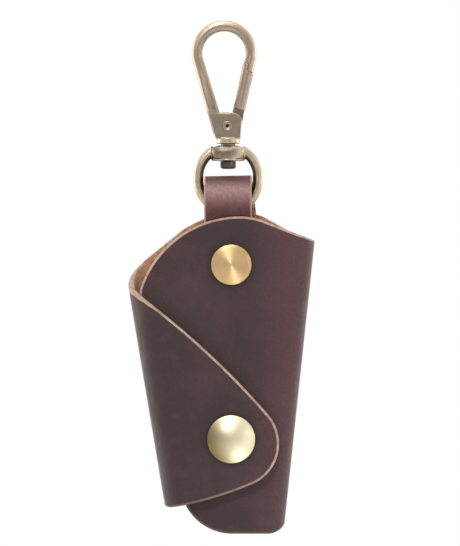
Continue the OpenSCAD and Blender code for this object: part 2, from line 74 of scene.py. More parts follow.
# %% Camera
def add_object(name, data):
    made = bpy.data.objects.new(name, data)
    bpy.context.scene.collection.objects.link(made)
    return made


look_at = Vector((0.0006, 0.0, -0.0773))
distance, seen_height, sensor_width = 1.2, 0.1747, 36
camera_turn = math.radians(0.8)
camera_data = bpy.data.cameras.new("camera")
camera_data.sensor_width = sensor_width
camera_data.lens = sensor_width * distance / seen_height
camera = add_object("camera", camera_data)
camera.location = look_at + distance * Vector((math.sin(camera_turn), -math.cos(camera_turn), 0))
camera.rotation_euler = (math.radians(90), 0, camera_turn)
bpy.context.scene.camera = camera
print("lens:", round(camera_data.lens, 1), "mm")

# %% [markdown]
# ## Recipes of nodes
# The world and every material are small networks of nodes. A Recipe keeps each of them short: its methods add
# a node and feed its inputs with numbers or with other nodes. Patterns read Object coordinates, so they stay
# on the piece and meet across neighbours.

# %% Recipe
class Recipe:
    def __init__(self, owner):
        owner.use_nodes = True
        self.owner, self.tree = owner, owner.node_tree

    def feed(self, node, inputs):
        """Links an input to another node's output, or sets it to a value."""
        for key, value in inputs.items():
            if hasattr(value, "is_output"):
                self.tree.links.new(value, node.inputs[key])
            else:
                node.inputs[key].default_value = value

    def node(self, kind, inputs=None, **settings):
        made = self.tree.nodes.new(kind)
        for key, value in settings.items():
            setattr(made, key, value)
        self.feed(made, inputs or {})
        return made

    def mix(self, factor, a, b):
        return self.node("ShaderNodeMix", {"Factor": factor, "A": a, "B": b}, data_type="RGBA").outputs["Result"]

    def math(self, operation, a, b):
        return self.node("ShaderNodeMath", {0: a, 1: b}, operation=operation).outputs[0]

    def ramp(self, source, low, high, low_value=0.0, high_value=1.0, kind="SMOOTHSTEP"):
        inputs = {"Value": source, "From Min": low, "From Max": high, "To Min": low_value, "To Max": high_value}
        return self.node("ShaderNodeMapRange", inputs, interpolation_type=kind).outputs["Result"]

    def over(self, under, colour, source, low, high, share=1.0):
        """Lays a colour over another by as much as a pattern rises between two values."""
        return self.mix(self.ramp(source, low, high, 0.0, share), under, colour)


def srgb(*colour):
    """A colour as a picture gives it, from 0 to 255, in the shader's linear numbers."""
    shares = [c / 255 for c in colour]
    return (*(c / 12.92 if c <= 0.04045 else ((c + 0.055) / 1.055) ** 2.4 for c in shares), 1)


print("middle grey for a shader:", [round(c, 3) for c in srgb(128, 128, 128)])


# %% Patterns on a surface
class Finish(Recipe):
    """A material whose patterns are placed in Object coordinates."""

    def __init__(self, name):
        super().__init__(bpy.data.materials.new(name))
        self.place = self.node("ShaderNodeTexCoord").outputs["Object"]

    def noise(self, scale, detail=4.0, roughness=0.55):
        inputs = {"Vector": self.place, "Scale": scale, "Detail": detail, "Roughness": roughness}
        return self.node("ShaderNodeTexNoise", inputs).outputs["Fac"]

    def bump(self, height, depth, strength=1.0, under=None):
        inputs = {"Height": height, "Distance": depth, "Strength": strength}
        if under:
            inputs["Normal"] = under
        return self.node("ShaderNodeBump", inputs).outputs["Normal"]

    def vector(self, operation, vector, constant=(0, 0, 0)):
        return self.node("ShaderNodeVectorMath", {0: vector, 1: constant}, operation=operation).outputs

    def along(self, way):
        """How far a point lies in a direction."""
        return self.vector("DOT_PRODUCT", self.place, way)["Value"]

    def from_axis(self, centre):
        """How far a point lies from the line along Y through a centre."""
        off = self.vector("SUBTRACT", self.place, centre)[0]
        return self.vector("LENGTH", self.vector("MULTIPLY", off, (1, 0, 1))[0])["Value"]

    def done(self, **inputs):
        """Feeds the shader and gives back the material."""
        self.feed(self.tree.nodes["Principled BSDF"], {key.replace("_", " "): v for key, v in inputs.items()})
        print("finish:", self.owner.name, len(self.tree.nodes), "nodes")
        return self.owner


# %% [markdown]
# ## Floor, world and lamps
# The floor lies well under the hanging case. The world is white to the camera and in reflections, apart
# from the dimmer side of the room behind the camera, which gives metal its darker middle. A large lamp
# at the upper left does most of the work, weaker ones at the sides and above keep the edges open, and a
# small one low on the right stands for the light that a white table throws back onto the cap.

# %% Floor
bpy.context.scene.view_settings.view_transform = "Standard"
bpy.ops.mesh.primitive_circle_add(vertices=96, radius=1.6, fill_type="NGON", location=(0, 0, -0.3))
floor = bpy.context.object
floor.name = "floor"
floor.data.materials.append(Finish("floor_paint").done(Base_Color=(0.86, 0.86, 0.86, 1), Roughness=0.9))

# %% World
world = bpy.data.worlds.new("studio")
bpy.context.scene.world = world
sky = Recipe(world)
sky.tree.nodes.clear()
path = sky.node("ShaderNodeLightPath").outputs
mirrored = sky.math("MAXIMUM", path["Is Glossy Ray"], path["Is Transmission Ray"])
seen = sky.math("MAXIMUM", path["Is Camera Ray"], mirrored)
soft_light = sky.node("ShaderNodeBackground", {"Color": (0.93, 0.95, 1.0, 1), "Strength": 0.55})
# The room in reflections: dim in front, where -Y is, and white behind, with the right a little whiter
way = sky.node("ShaderNodeTexCoord").outputs["Generated"]
sides = sky.node("ShaderNodeSeparateXYZ", {0: way}).outputs
back_share = sky.node("ShaderNodeMath", {0: sides["X"], 1: 0.12, 2: sides["Y"]}, operation="MULTIPLY_ADD")
share = sky.ramp(back_share.outputs[0], -1, 1, kind="LINEAR")
room = sky.node("ShaderNodeValToRGB", {"Fac": share})
dim, bright = room.color_ramp.elements
dim.position, dim.color = 0.04, (0.26, 0.24, 0.24, 1)
bright.position, bright.color = 0.55, (1, 1, 1, 1)
backdrop = sky.mix(path["Is Camera Ray"], room.outputs["Color"], (1, 1, 1, 1))
shown = sky.node("ShaderNodeBackground", {"Color": backdrop})
both = sky.node("ShaderNodeMixShader", {0: seen, 1: soft_light.outputs[0], 2: shown.outputs[0]})
sky.node("ShaderNodeOutputWorld", {"Surface": both.outputs[0]})
print("world nodes:", len(sky.tree.nodes))


# %% Lamps
def add_lamp(name, place, size, watts):
    data = bpy.data.lights.new(name, "AREA")
    data.shape = "RECTANGLE"
    data.size, data.size_y = size
    data.energy = watts
    lamp = add_object(name, data)
    lamp.location = place
    lamp.rotation_euler = (look_at - Vector(place)).to_track_quat("-Z", "Y").to_euler()
    return lamp


add_lamp("key_lamp", (-0.25, -0.88, 0.6), (0.2, 0.2), 4.2)
add_lamp("fill_lamp", (0.75, -0.6, 0.05), (0.4, 0.6), 0.8)
bounce = add_lamp("bounce_lamp", (0.06, -0.105, -0.285), (0.07, 0.07), 0.07)
bounce.visible_camera = False
add_lamp("top_lamp", (-0.1, -0.2, 0.8), (0.5, 0.4), 3.0)
add_lamp("right_lamp", (0.9, 0.4, 0.0), (0.3, 0.8), 2.0)
add_lamp("left_lamp", (-0.9, 0.25, 0.0), (0.3, 0.8), 3.0)


# %% [markdown]
# ### Leather
# The hide is a waxed, wine-brown leather. Its colour drifts slowly over the panel and grows redder and paler towards
# the right, and its grain is fine pebbles with a few stretched pores. Round each fitting it carries a painted shadow,
# and on the strap's loop a painted highlight besides the pull-up paling. The cut edges and the flesh side are raw,
# so they are a separate tan material with fibres in it, with painted shade along the foot.

# %% Grained side of the hide
def grain_leather(name, dark, middle, red, rough=0.5, shine=0.4, depth=1.0, sheen=0.8, paling_and_highlight=None, fitting_shadows=()):
    made = Finish(name)
    clouds = made.noise(38, 3.0)
    mottle = made.noise(210, 5.0, 0.6)
    speck = made.noise(1400, 2.0)
    colour = made.over(dark, middle, clouds, 0.35, 0.68)
    colour = made.over(colour, red, mottle, 0.45, 0.85, 0.5)
    if paling_and_highlight:
        # A paler band across the piece: on the case it is a redder bloom towards the right, and on the ring strap's
        # loop it is partly pull-up paling and partly a painted highlight
        way = made.along(paling_and_highlight["way"])
        share = made.ramp(way, *paling_and_highlight["rise"], 0.0, paling_and_highlight["share"])
        if "fade" in paling_and_highlight:
            share = made.math("MULTIPLY", share, made.ramp(way, *paling_and_highlight["fade"], 1.0, 0.0))
        colour = made.mix(share, colour, paling_and_highlight["colour"])
    colour = made.mix(made.ramp(speck, 0.3, 0.75, 0.28, 0.0), colour, (0.02, 0.012, 0.012, 1))
    for centre, radius, back_y in fitting_shadows:
        # Painted shadow: a dark ring on the leather round each fitting, where its contact shadow falls
        shadow_ring = made.ramp(made.from_axis(centre), radius - 0.2 * MM, radius + 2.2 * MM, 0.62, 0.0)
        in_front = made.ramp(made.along((0, 1, 0)), back_y, back_y + 0.2 * MM, 1.0, 0.0)
        colour = made.mix(made.math("MULTIPLY", shadow_ring, in_front), colour, (0.014, 0.008, 0.008, 1))
    pebbles = made.node("ShaderNodeTexVoronoi", {"Vector": made.place, "Scale": 1150, "Smoothness": 0.6},
                        feature="SMOOTH_F1").outputs["Distance"]
    grain = made.bump(mottle, 0.0002, 0.35 * depth, made.bump(clouds, 0.0012, 0.25))
    grain = made.bump(pebbles, 0.00012, 0.45 * depth, grain)
    gloss = made.ramp(mottle, 0.3, 0.8, rough + 0.06, rough - 0.06)
    return made.done(Base_Color=colour, Normal=grain, Roughness=gloss, Specular_IOR_Level=shine,
                     Sheen_Weight=sheen, Sheen_Roughness=0.3, Sheen_Tint=(1.0, 0.86, 0.87, 1))


# %% The two hides
def box_mm(name):
    low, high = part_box(name)
    return low / MM, high / MM


def front_centre(name):
    """The middle of a node's front, which faces -Y."""
    low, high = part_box(name)
    return Vector(((low.x + high.x) / 2, low.y, (low.z + high.z) / 2))


screw_at, snap_at = front_centre("screw_head"), front_centre("snap_cap")
head_r, cap_r = 6.45, 7.65
# The case hide carries painted shadow rings round the screw head and the snap cap
case_hide = grain_leather(
    "case_hide", srgb(60, 41, 42), srgb(73, 51, 52), srgb(95, 60, 61),
    paling_and_highlight={"way": (1, 0, 0), "rise": (0.003, 0.022), "share": 0.6, "colour": srgb(100, 66, 68)},
    fitting_shadows=((screw_at, head_r * MM, 0.02), (snap_at, cap_r * MM, -0.0072)))
# The ring strap's paler band along its loop is partly pull-up paling and partly a painted highlight
tab_hide = grain_leather(
    "tab_hide", srgb(98, 62, 61), srgb(110, 72, 70), srgb(124, 78, 74),
    rough=0.46, shine=0.22, depth=0.45, sheen=0.15,
    paling_and_highlight={"way": (0, 0, -1), "rise": (0.0474, 0.0508), "share": 1.0, "fade": (0.0508, 0.0575),
            "colour": srgb(168, 130, 125)})


# %% Cut edge and flesh side
def raw_leather(name, light, deep, foot_shade=None):
    made = Finish(name)
    fibres = made.noise(700, 6.0, 0.75)
    patches = made.noise(120, 3.0)
    colour = made.over(light, deep, patches, 0.3, 0.75, 0.4)
    colour = made.over(colour, deep, fibres, 0.38, 0.7, 0.75)
    if foot_shade:
        # Painted shade: the cut edge is darker along the foot
        colour = made.mix(made.ramp(made.along((0, 0, 1)), -0.155, -0.136, 0.92, 0.0), colour, foot_shade)
    return made.done(Base_Color=colour, Normal=made.bump(fibres, 0.0003, 0.8),
                     Roughness=0.82, Specular_IOR_Level=0.25, Sheen_Weight=0.25)


cut_edge = raw_leather("cut_edge", srgb(202, 172, 153), srgb(134, 96, 75), srgb(78, 58, 56))
flesh_side = raw_leather("flesh_side", srgb(204, 160, 124), srgb(134, 92, 62))

# %% [markdown]
# ### Metals
# The clasp is antiqued brass: a dark wash stays in the hollows and is rubbed off the high spots. The
# screw is bright brass turned on a lathe, so its fine rings stretch every highlight across them. The
# cap is polished, and the key ring is nickelled steel.


# %% Antiqued castings
def antique_brass(name, worn, body, wash, roughness=0.4):
    """The point attribute read here is over 0 where the wash and painted shade darken the metal, and under 0 where
    wear and painted light brighten it.
    """
    made = Finish(name)
    ridge = made.node("ShaderNodeNewGeometry").outputs["Pointiness"]
    hollow = made.node("ShaderNodeAttribute", attribute_name="hollow").outputs["Fac"]
    patches = made.noise(420)
    colour = made.over(body, worn, patches, 0.3, 0.75, 0.35)
    colour = made.over(colour, worn, ridge, 0.51, 0.58, 0.6)
    colour = made.mix(made.ramp(hollow, -0.8, 0.0, 0.9, 0.0), colour, worn)
    colour = made.over(colour, wash, hollow, 0.2, 0.75, 0.92)
    gloss = made.ramp(patches, 0.3, 0.75, roughness + 0.08, roughness - 0.06)
    skin = made.bump(made.noise(2600, 3.0), 0.00003, 0.15, made.bump(patches, 0.00004, 0.1))
    return made.done(Base_Color=colour, Roughness=gloss, Normal=skin, Metallic=1)


clasp_metal = antique_brass("clasp_metal", srgb(216, 200, 173), srgb(174, 157, 138), srgb(76, 61, 57), 0.42)
ring_metal = antique_brass("ring_metal", srgb(224, 210, 182), srgb(204, 188, 160), srgb(66, 40, 30))
post_metal = antique_brass("post_metal", srgb(128, 118, 112), srgb(100, 90, 84), srgb(50, 44, 42))


# %% Polished and plated metal
def plain_metal(name, colour, tarnish, roughness, bumpy=0.2, shaded_side=None):
    made = Finish(name)
    patches = made.noise(260)
    tone = made.over(colour, tarnish, patches, 0.4, 0.75, 0.6)
    # Painted shade: a darker colour towards one side of the piece
    if shaded_side:
        way, start, end, shade_colour = shaded_side
        tone = made.over(tone, shade_colour, made.along(way), start, end)
    gloss = made.ramp(patches, 0.3, 0.7, roughness, roughness + 0.08)
    skin = made.bump(made.noise(3000, 2.0), 0.00003, bumpy)
    return made.done(Base_Color=tone, Roughness=gloss, Normal=skin, Metallic=1)


# Painted shade: the cap turns a darker olive towards its lower left
to_shaded_side = Vector((-0.94, 0, -0.34))
shaded_side_at = to_shaded_side.dot(snap_at)
cap_shade = (to_shaded_side, shaded_side_at - 2.5 * MM, shaded_side_at + 7.4 * MM, srgb(150, 132, 84))
cap_metal = plain_metal("cap_metal", srgb(250, 239, 206), srgb(238, 224, 184), 0.42, 0.08, cap_shade)
pin_metal = plain_metal("pin_metal", srgb(178, 164, 142), srgb(130, 114, 94), 0.42)
snap_metal = plain_metal("snap_metal", srgb(214, 200, 164), srgb(170, 150, 110), 0.3)
steel_metal = plain_metal("steel_metal", srgb(206, 206, 208), srgb(160, 160, 166), 0.22)


# %% Turned face
def turned_brass(name, centre, colour, groove):
    made = Finish(name)
    rings = made.node("ShaderNodeTexNoise", {"W": made.from_axis(centre), "Scale": 5200, "Detail": 3},
                      noise_dimensions="1D").outputs["Fac"]
    tone = made.over(colour, groove, rings, 0.4, 0.7, 0.5)
    tangent = made.node("ShaderNodeTangent", direction_type="RADIAL", axis="Y").outputs[0]
    return made.done(Base_Color=tone, Normal=made.bump(rings, 0.00004, 0.5), Tangent=tangent,
                     Roughness=0.46, Anisotropic=0.88, Anisotropic_Rotation=0.25, Metallic=0.8)


screw_metal = turned_brass("screw_metal", screw_at, srgb(248, 212, 154), srgb(219, 176, 121))

# %% [markdown]
# ## Helpers for every mesh
# An operator acts on what is selected, so each helper first selects its one piece. Points are worked out in
# millimetres and scaled once, when the mesh is made, so that a finished piece sits at the origin unscaled.

# %% Mesh helpers
def only(piece):
    bpy.ops.object.select_all(action="DESELECT")
    piece.select_set(True)
    bpy.context.view_layer.objects.active = piece


def new_piece(name, points, faces, edges=()):
    mesh = bpy.data.meshes.new(name)
    mesh.from_pydata([tuple(c * MM for c in p) for p in points], edges, faces)
    piece = add_object(name, mesh)
    only(piece)
    return piece


def modify(piece, kind, **settings):
    """Adds a modifier with its settings and applies it."""
    only(piece)
    made = piece.modifiers.new("step", kind)
    for key, value in settings.items():
        setattr(made, key, value)
    bpy.ops.object.modifier_apply(modifier=made.name)


def weld(piece, threshold=1e-7, outward=True):
    """Merges doubled points, and then turns the faces outwards."""
    only(piece)
    bpy.ops.object.mode_set(mode="EDIT")
    bpy.ops.mesh.select_all(action="SELECT")
    bpy.ops.mesh.remove_doubles(threshold=threshold)
    if outward:
        bpy.ops.mesh.normals_make_consistent(inside=False)
    bpy.ops.object.mode_set(mode="OBJECT")


def shade(piece, material=None, angle=40):
    """Smooths all but the sharp corners, and adds a finish."""
    only(piece)
    bpy.ops.object.shade_smooth_by_angle(angle=math.radians(angle))
    if material:
        piece.data.materials.append(material)


def settle(piece, node_name, body=None):
    """Says which CAD node a piece stands for, and the body that it rides on."""
    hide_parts(node_name)
    if body:
        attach(piece, body)
    print(piece.name, "stands for", node_name, "faces:", len(piece.data.polygons))


def clamp(s):
    return min(1, max(0, s))


# %% [markdown]
# ## The case's pattern
# The case is one sheet of hide with two folds. Its outline is drawn once, in millimetres, from the same
# sizes as the part's source: X and Z as seen from the front. Both folds lean, so the case tapers.

# %% Sizes
low, high = box_mm("case_wrap")
screw_z, snap_z, foot_z = screw_at.z / MM, snap_at.z / MM, low.z
case_x = screw_at.x / MM
hide_t = 2.0
inner_y = high.y - hide_t
flap_in_y = 7.65
left_reach, left_lean = 34.2, math.radians(9.5)
right_reach, right_lean = 25.8, math.radians(6.1)
right_r = inner_y + hide_t / 2
left_r = (flap_in_y + hide_t + inner_y) / 2
left_axis = (case_x - left_reach + (left_r + hide_t / 2) / math.cos(left_lean), screw_z)
right_axis = (case_x + right_reach - (right_r + hide_t / 2) / math.cos(right_lean), screw_z)
print("screw, snap and foot:", [round(z, 2) for z in (screw_z, snap_z, foot_z)], "left fold:", round(left_r, 2))


def left_x(z):
    return case_x - left_reach + (screw_z - z) * math.tan(left_lean)


def right_x(z):
    return case_x + right_reach - (screw_z - z) * math.tan(right_lean)


def arc(at, r, start, end, steps=20):
    turns = [math.radians(start + (end - start) * i / steps) for i in range(steps + 1)]
    return [(at[0] + r * math.cos(a), at[1] + r * math.sin(a)) for a in turns]


def toward(p, q, s):
    """The point at a share of the way from p to q."""
    return (p[0] + (q[0] - p[0]) * s, p[1] + (q[1] - p[1]) * s)


def reach(p, at, way):
    """How far p lies from a point in a direction."""
    return (p[0] - at[0]) * way[0] + (p[1] - at[1]) * way[1]


def sides_of(loop):
    return zip(loop, loop[1:] + loop[:1])


def bow(p, q, rise, steps=20):
    """Points from p to q along a flat curve."""
    length = math.dist(p, q)
    side = ((p[1] - q[1]) / length * rise, (q[0] - p[0]) / length * rise)
    shares = [i / steps for i in range(steps + 1)]
    ends = [toward(p, q, s) for s in shares]
    return [(x + side[0] * 4 * s * (1 - s), z + side[1] * 4 * s * (1 - s)) for (x, z), s in zip(ends, shares)]


# %% Front panel's outline
slope = 21.2
shoulder_r, crown_r, foot_r, corner_r, right_corner_r = 33.4, 21.2, 16.6, 2.6, 5.0
shoulder_at = (case_x + 2.7, screw_z + 15.4 - shoulder_r)
crown_at = (case_x + 2.7, screw_z + 15.4 - crown_r)
slope_top = (crown_at[0] + crown_r * math.sin(math.radians(slope)),
             crown_at[1] + crown_r * math.cos(math.radians(slope)))


def on_slope(x):
    return (x, slope_top[1] - (x - slope_top[0]) * math.tan(math.radians(slope)))


right_corner = (right_x(foot_z) - right_corner_r, foot_z + right_corner_r)
foot_end = arc(right_corner, right_corner_r, 270, 332, 8)
foot_end.append((foot_end[-1][0] + 3, foot_end[-1][1] + 5.6))
front_lean = left_lean + math.radians(6.7)
edge_top = arc(shoulder_at, shoulder_r, 202, 202, 1)[0]
foot_at = (edge_top[0] + (edge_top[1] - foot_z - foot_r) * math.tan(front_lean) + foot_r / math.cos(front_lean),
           foot_z + foot_r)
front_outline = ([on_slope(40)] + arc(crown_at, crown_r, 90 - slope, 90, 10)
                 + arc(shoulder_at, shoulder_r, 93, 202, 30)
                 + arc(foot_at, foot_r, 180 + math.degrees(front_lean), 270) + foot_end)
# Its free edge stays inside the left fold
behind_fold = 3.3
front_outline = [(max(x, left_x(z) + behind_fold), z) for x, z in front_outline]
print("front outline:", len(front_outline), "points")

# %% Back panel's and flap's outlines
# The back stands a little above the front, so its tan flesh side shows along the top
show = 1.4
fold_top_z = screw_z - 7
fold_top = (left_x(fold_top_z), fold_top_z)
round_r = 15.1
round_turn = math.radians(168)
round_at = (fold_top[0] - round_r * math.cos(round_turn), fold_top[1] - round_r * math.sin(round_turn))
flap_foot_z = screw_z - 75.9
left_corner = (left_x(flap_foot_z) + corner_r * 0.9, flap_foot_z + corner_r * 0.5)
fold_join = on_slope(right_axis[0] - hide_t)
left_end = arc(left_corner, corner_r, 208, 270, 8)
beyond_left = (left_corner[0] - corner_r * 3, left_corner[1] + corner_r * 3)
back_outline = ([on_slope(40), (fold_join[0], fold_join[1] + 0.1)]
                + arc((crown_at[0], crown_at[1] + show), crown_r, 90 - slope, 90, 10)
                + arc((shoulder_at[0], shoulder_at[1] + show), shoulder_r, 93, 124, 10)
                + arc(round_at, round_r, 129, 172, 12)
                + [beyond_left] + left_end + arc(foot_at, foot_r - 1, 211, 235, 6)
                + [(right_axis[0] - foot_r, foot_z)] + foot_end)
tip_at, tip_r = (case_x + 1.2, snap_z - 1.4), 14.0
tip = arc(tip_at, tip_r, 43, -62, 26)
flap_outline = ([(fold_top[0] - 4, fold_top[1] + 2.8)] + bow(fold_top, tip[0], 1.8) + tip[1:-1]
                + bow(tip[-1], (left_corner[0], left_corner[1] - corner_r), 0.9)
                + left_end[::-1] + [beyond_left])
print("back and flap outlines:", len(back_outline), len(flap_outline), "points")


# %% [markdown]
# ## Cutting and folding
# A leather worker cuts the hide flat and then folds it, and the mesh is made in that order. The flat
# pattern has a coordinate u across the folds and v along them. Points fill it in rows and columns, closer
# together where it folds, and a triangulation joins them, because an outline of free curves can't be
# kept by a plain grid. Then each point goes to its place in space, and Solidify gives the thickness.

# %% Fold
class Fold:
    """A fold along a leaning axis: u is 0 where the sheet starts to bend, and v runs up the axis."""

    def __init__(self, axis, lean, side, radius, start_y):
        self.at, self.r, self.side = axis, radius, side
        self.up = (side * math.sin(lean), math.cos(lean))
        self.out = (side * math.cos(lean), -math.sin(lean))
        self.start_y = start_y
        self.length = math.pi * radius

    def line(self, u):
        # How far out from the axis, and how deep, the sheet lies at u
        if u <= 0:
            return u, self.start_y
        turn = min(u / self.r, math.pi)
        past = max(u - self.length, 0)
        return self.r * math.sin(turn) - past, self.start_y + self.side * self.r * (1 - math.cos(turn))

    def place(self, u, v):
        out, y = self.line(u)
        return (self.at[0] + v * self.up[0] + out * self.out[0], y,
                self.at[1] + v * self.up[1] + out * self.out[1])

    def flat(self, point, past_fold):
        out = reach(point, self.at, self.out)
        return (self.length - out if past_fold else out, reach(point, self.at, self.up))

    def span(self, outline, u):
        # Lowest and highest v at which the line of this u lies inside the outline
        at = (self.at[0] + self.line(u)[0] * self.out[0], self.at[1] + self.line(u)[0] * self.out[1])
        hits = []
        for a, b in sides_of(outline):
            da, db = reach(a, at, self.out), reach(b, at, self.out)
            if da * db < 0:
                hits.append(reach(toward(a, b, da / (da - db)), at, self.up))
        return min(hits), max(hits)


# %% Outline tools
def clip(outline, at, outward):
    """The part of an outline on the inner side of a line."""
    kept = []
    for a, b in sides_of(outline):
        da, db = reach(a, at, outward), reach(b, at, outward)
        if da <= 0:
            kept.append(a)
        if da * db < 0:
            kept.append(toward(a, b, da / (da - db)))
    return kept


def open_at(loop, u, last_is_low):
    """Turns a closed loop so that it starts and ends at its two points on the line of this u."""
    ends = [i for i, p in enumerate(loop) if abs(p[0] - u) < 1e-6]
    i, j = ends[0], ends[-1]
    run = loop[j:] + loop[:i + 1] if j - i == 1 else loop[i:j + 1]
    return run if (run[-1][1] < run[0][1]) == last_is_low else run[::-1]


def inside(loop, p):
    hit = False
    for a, b in sides_of(loop):
        if (a[1] > p[1]) != (b[1] > p[1]) and p[0] < a[0] + (b[0] - a[0]) * (p[1] - a[1]) / (b[1] - a[1]):
            hit = not hit
    return hit


def edge_distance(loop, p):
    best = 1e9
    for a, b in sides_of(loop):
        run = (b[0] - a[0], b[1] - a[1])
        best = min(best, math.dist(p, toward(a, b, clamp(reach(p, a, run) / (run[0] ** 2 + run[1] ** 2)))))
    return best


def fine_loop(loop, step):
    """The same loop with points no further apart than a step."""
    made = []
    for a, b in sides_of(loop):
        parts = max(1, math.ceil(math.dist(a, b) / step))
        made += [toward(a, b, i / parts) for i in range(parts)]
    return made


# %% Pattern tools
sheet_reach, row_step = 62, 2.4


def cut_pattern(name, loop, columns, margin=1.4):
    """Triangles that fill a flat outline: returns the points and the faces."""
    loop = fine_loop([p for i, p in enumerate(loop) if math.dist(p, loop[i - 1]) > 0.05], row_step)
    points = [Vector(p) for p in loop]
    low_v, high_v = min(p[1] for p in loop), max(p[1] for p in loop)
    for u in columns:
        for i in range(int((high_v - low_v) / row_step) + 1):
            p = (u, low_v + i * row_step)
            if inside(loop, p) and edge_distance(loop, p) > margin:
                points.append(Vector(p))
    made = delaunay_2d_cdt(points, [], [list(range(len(loop)))], 1, 1e-6)
    wide = max(p[0] for p in loop) - min(p[0] for p in loop)
    area = abs(sum(a[0] * b[1] - b[0] * a[1] for a, b in sides_of(loop))) / 2
    print(name, "flat:", round(wide, 1), "by", round(high_v - low_v, 1), "mm,", round(area / 100, 1), "cm2")
    return made[0], made[2]


def spaced(start, end, step):
    parts = max(1, round((end - start) / step))
    return [start + (end - start) * i / parts for i in range(parts + 1)]


def cut_over_fold(name, fold, start, end, bend_step, before, over_fold, evened=0):
    """Cuts a sheet whose outlines lie before and past a fold: over_fold gives the outline that bounds it at u."""
    bends = spaced(0, fold.length, bend_step)
    spans = [(u, *fold.span(over_fold(u), u)) for u in bends[1:-1]]
    tops = [top for u, foot, top in spans]
    for _ in range(evened):
        tops = tops[:1] + [(a + 2 * b + c) / 4 for a, b, c in zip(tops, tops[1:], tops[2:])] + tops[-1:]
    loop = (open_at([fold.flat(p, False) for p in start], 0, True) + [(u, foot) for u, foot, top in spans]
            + open_at([fold.flat(p, True) for p in end], fold.length, False) + list(zip(bends[1:-1], tops))[::-1])
    return cut_pattern(name, loop, before + bends + spaced(fold.length, fold.length + sheet_reach, row_step)[1:])


# %% [markdown]
# A finished sheet has three materials: the grain outside, the flesh side inside, and the raw cut edge.
# The edge is beaten round on the real case, so the rim's two borders are bevelled with the edge material.

# %% Leather tools
def leather_object(name, points, faces, thickness, hide, keep_sharp=None, edge_r=0.7, inner_r=0.45):
    """A sheet with its thickness and its beaten edges. keep_sharp leaves out the middles of some edges."""
    piece = new_piece(name, points, faces)
    mesh = piece.data
    for material in (hide, flesh_side, cut_edge):
        mesh.materials.append(material)
    modify(piece, "SOLIDIFY", thickness=thickness * MM, offset=0, use_even_offset=True, material_offset=1,
           material_offset_rim=2)
    made = bmesh.new()
    made.from_mesh(mesh)
    weight = made.edges.layers.float.new("bevel_weight_edge")
    for edge in made.edges:
        kinds = [f.material_index for f in edge.link_faces]
        if len(kinds) == 2 and kinds.count(2) == 1:
            middle = (edge.verts[0].co + edge.verts[1].co) / 2 / MM
            if keep_sharp is None or not keep_sharp(middle):
                edge[weight] = 1.0 if min(kinds) == 0 else inner_r / edge_r
    made.to_mesh(mesh)
    made.free()
    modify(piece, "BEVEL", limit_method="WEIGHT", width=edge_r * MM, segments=4, material=2, use_clamp_overlap=True)
    shade(piece)
    return piece


def ripple(x, z, size, seed):
    """A slow, small unevenness, the same at the same place each run."""
    return size * noise_at(Vector((x * 0.045, z * 0.045, seed)))


# %% [markdown]
# ## The case
# Sheet one is the back panel, the right fold and the front panel. Sheet two starts on the back, just
# before the left fold, and goes round it to become the flap. They meet edge to edge on the flat of the
# back, where one piece of hide would run on.

# %% Back, right fold and front panel
right_fold = Fold(right_axis, right_lean, 1, right_r, -(inner_y + hide_t / 2))
left_fold = Fold(left_axis, left_lean, -1, left_r, inner_y + hide_t / 2)
seam = 1.5
seam_at = (left_axis[0] - seam * left_fold.out[0], left_axis[1] - seam * left_fold.out[1])
inward = (-left_fold.out[0], -left_fold.out[1])
front_part = clip(front_outline, right_axis, right_fold.out)
back_part = clip(clip(back_outline, right_axis, right_fold.out), seam_at, left_fold.out)
flat_points, faces = cut_over_fold("case pattern", right_fold, front_part, back_part, 0.6,
                                   spaced(-sheet_reach, 0, row_step)[:-1], lambda u: front_outline)


def on_case(p):
    x, y, z = right_fold.place(p[0], p[1])
    return (x, y - clamp(-p[0] / 8) * ripple(x, z, 0.35, 3.1), z)


def at_seam(p):
    return p.y > 0 and abs(reach((p.x, p.z), seam_at, left_fold.out)) < 0.02


case_sheet = leather_object("case_sheet", [on_case(p) for p in flat_points], faces, hide_t, case_hide, at_seam)
settle(case_sheet, "case_wrap", "case")

# %% Left fold and flap
strip_part = clip(clip(back_outline, left_axis, left_fold.out), seam_at, inward)
flap_part = clip(flap_outline, left_axis, left_fold.out)
# Its top is evened, so the rim turns round the fold in one curve
flat_points, faces = cut_over_fold("flap pattern", left_fold, strip_part, flap_part, 0.8, [-seam],
                                   lambda u: back_outline if u < left_fold.length / 2 else flap_outline, 10)


def on_flap(p):
    x, y, z = left_fold.place(p[0], p[1])
    free = clamp((p[0] - left_fold.length) / 10)
    near_snap = math.exp(-((x - case_x) ** 2 + (z - snap_z) ** 2) / 180)
    return (x, y - free * (1 - near_snap) * ripple(x, z, 0.5, 8.7), z)


flap_sheet = leather_object("flap_sheet", [on_flap(p) for p in flat_points], faces, hide_t, case_hide, at_seam)
settle(flap_sheet, "case_flap")
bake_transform(flap_sheet)

# %% [markdown]
# ## The leather tabs
# A tab is a straight strap, so its pattern is a plain grid: a primitive grid is added, and each of its
# points is moved along the path that the strap takes, up one side, over the wire and down the other.

# %% Rounded paths
def rounded(corners, steps=5):
    """Points along a path of corners (a, b, cut): each is rounded from this far before it to this far after."""
    made = []
    for i, (*here, cut) in enumerate(corners):
        here = Vector(here)
        if cut == 0:
            made.append(here)
            continue
        before, after = Vector(corners[i - 1][:2]) - here, Vector(corners[(i + 1) % len(corners)][:2]) - here
        cut = min(cut, before.length * 0.49, after.length * 0.49)
        p, q = here + before.normalized() * cut, here + after.normalized() * cut
        made += [p * (1 - s) ** 2 + here * 2 * s * (1 - s) + q * s * s for s in (k / steps for k in range(steps + 1))]
    return made


